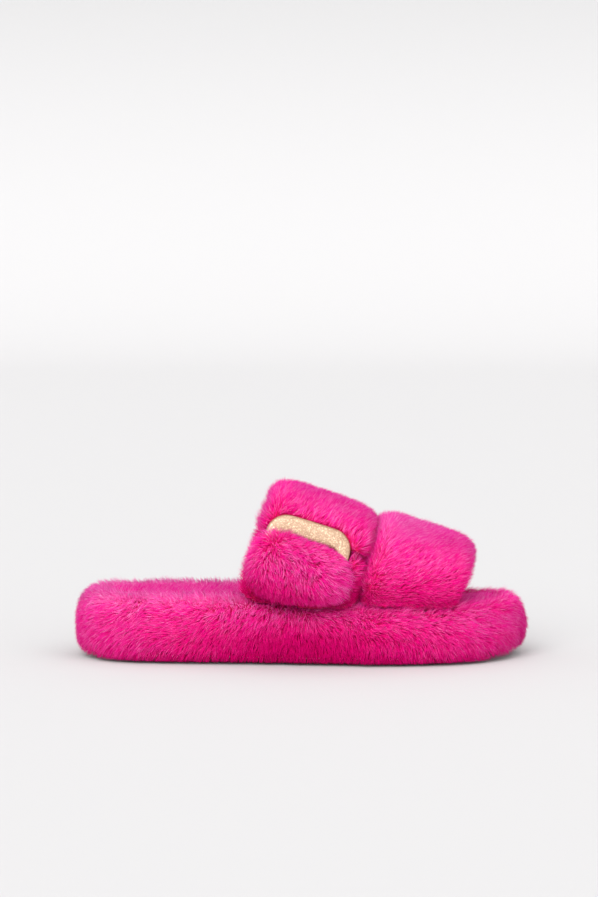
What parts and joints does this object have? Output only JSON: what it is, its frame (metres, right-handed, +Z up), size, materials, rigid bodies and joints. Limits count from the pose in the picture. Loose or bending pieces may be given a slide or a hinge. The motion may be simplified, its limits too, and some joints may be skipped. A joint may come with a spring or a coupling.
{
  "type": "house slipper",
  "caption": "Open-toe house slide in hot-pink faux fur: thick fur-wrapped platform sole, broad front strap and a buckled instep strap that ends in a puffy free tab.",
  "frame": {"origin": "on the floor plane under the middle of the slipper's bounding box", "axes": "+X towards the toe, +Y towards the inner (medial) side of the foot, +Z up"},
  "size_m": [0.2704, 0.1216, 0.1028],
  "materials": {
    "pink_pile": "deep faux-fur pile, hot pink",
    "padding_foam": "open-cell padding foam, cream, unseen",
    "strap_lining": "smooth knitted lining, deep pink",
    "gold_glitter": "fine gold glitter coat, matte sparkle",
    "webbing": "woven tape, pink",
    "hook_and_loop": "hook and loop tape, pink",
    "outsole_rubber": "thin thermoplastic rubber sheet, dark, grooved",
    "midsole_eva": "EVA foam, off-white, unseen",
    "board": "fibre insole board, brown, unseen"
  },
  "bodies": {
    "slipper": {"outsole": "outsole_rubber", "midsole": "midsole_eva", "insole_board": "board", "footbed_foam": "padding_foam", "footbed_fur": "pink_pile", "side_wrap_fur": "pink_pile", "front_strap_fur": "pink_pile", "front_strap_foam": "padding_foam", "front_strap_lining": "strap_lining", "instep_strap_fur": "pink_pile", "instep_strap_foam": "padding_foam", "instep_strap_lining": "strap_lining", "anchor_fur": "pink_pile", "anchor_foam": "padding_foam", "anchor_lining": "strap_lining", "buckle_loop": "webbing", "loop_pad": "hook_and_loop"},
    "buckle": {"buckle_frame": "gold_glitter"},
    "tab": {"tab_fur": "pink_pile", "tab_foam": "padding_foam", "tab_lining": "strap_lining", "tab_neck": "strap_lining", "hook_pad": "hook_and_loop"}
  },
  "joints": [
    {"name": "buckle_tilt", "type": "hinge", "parent": "slipper", "child": "buckle", "pos_m": [-0.00169, -0.03879, 0.05613], "axis": [0.954, -0.0667, -0.2924], "range_deg": [0, 8]},
    {"name": "tab_peel", "type": "hinge", "parent": "buckle", "child": "tab", "pos_m": [0.00391, -0.0383, 0.0743], "axis": [-0.954, 0.0667, 0.2924], "range_deg": [0, 75]}
  ]
}
